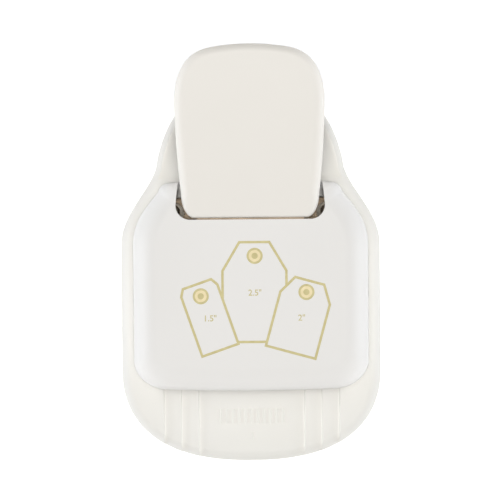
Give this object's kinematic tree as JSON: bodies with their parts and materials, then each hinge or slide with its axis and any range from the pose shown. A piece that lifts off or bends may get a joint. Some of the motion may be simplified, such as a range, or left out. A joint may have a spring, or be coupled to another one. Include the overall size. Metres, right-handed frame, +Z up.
{
  "type": "tag punch",
  "caption": "Desktop lever punch that trims the corners of paper tags and punches a hole in them, with a stepped paper tray, a moulded housing and a wide sprung lever.",
  "frame": {"origin": "middle of the punch's length and width, on the surface that it stands on", "axes": "+X to the right seen from above with the paper tray towards the viewer, +Y from the tray to the lever, +Z up"},
  "size_m": [0.0952, 0.1484, 0.0642],
  "materials": {
    "housing_plastic": "satin",
    "base_plastic": "satin",
    "lever_plastic": "satin",
    "plate_steel": "rolled",
    "blade_steel": "ground",
    "spring_steel": "drawn",
    "zinc_hardware": "zinc plated",
    "foot_rubber": "matt"
  },
  "bodies": {
    "base": {"base_shell": "base_plastic", "top_housing": "housing_plastic", "die_plate": "plate_steel", "guide_plate": "plate_steel", "paper_stop": "plate_steel", "pivot_bracket": "plate_steel", "pivot_pin": "zinc_hardware", "spacer_left": "plate_steel", "pivot_clip_left": "zinc_hardware", "bracket_screw_left": "zinc_hardware", "set_screw_left_1": "zinc_hardware", "set_screw_left_2": "zinc_hardware", "spacer_right": "plate_steel", "pivot_clip_right": "zinc_hardware", "bracket_screw_right": "zinc_hardware", "set_screw_right_1": "zinc_hardware", "set_screw_right_2": "zinc_hardware", "guide_post_front_left": "zinc_hardware", "return_spring_front_left": "spring_steel", "housing_screw_front_left": "zinc_hardware", "rubber_foot_front_left": "foot_rubber", "guide_post_front_right": "zinc_hardware", "return_spring_front_right": "spring_steel", "housing_screw_front_right": "zinc_hardware", "rubber_foot_front_right": "foot_rubber", "guide_post_rear_left": "zinc_hardware", "return_spring_rear_left": "spring_steel", "housing_screw_rear_left": "zinc_hardware", "rubber_foot_rear_left": "foot_rubber", "guide_post_rear_right": "zinc_hardware", "return_spring_rear_right": "spring_steel", "housing_screw_rear_right": "zinc_hardware", "rubber_foot_rear_right": "foot_rubber"},
    "lever": {"lever_shell": "lever_plastic", "lever_frame": "plate_steel", "roller_pin": "zinc_hardware", "lever_screw_1": "zinc_hardware", "lever_screw_2": "zinc_hardware"},
    "roller": {"press_roller": "blade_steel"},
    "carrier": {"blade_carrier": "plate_steel", "hole_punch": "blade_steel", "punch_screw": "zinc_hardware", "corner_blade_left": "blade_steel", "corner_blade_right": "blade_steel", "blade_screw_left_1": "zinc_hardware", "blade_screw_left_2": "zinc_hardware", "blade_screw_right_1": "zinc_hardware", "blade_screw_right_2": "zinc_hardware"}
  },
  "joints": [
    {"name": "lever_hinge", "type": "hinge", "parent": "base", "child": "lever", "pos_m": [0, -0.03775, 0.033], "axis": [-1, 0, 0], "range_deg": [0, 10.4]},
    {"name": "carrier_slide", "type": "slide", "parent": "base", "child": "carrier", "axis": [0, 0, -1], "range_m": [0, 0.006], "stiffness_N_per_m": 3800, "springref_m": -0.002, "deforming": ["return_spring_front_left", "return_spring_front_right", "return_spring_rear_left", "return_spring_rear_right"]},
    {"name": "roller_spin", "type": "hinge", "parent": "lever", "child": "roller", "pos_m": [0, -0.00475, 0.03585], "axis": [1, 0, 0], "continuous": true}
  ],
  "couplings": [
    {"joint": "lever_hinge", "follows": "carrier_slide", "rad_per_m": 30.25}
  ]
}
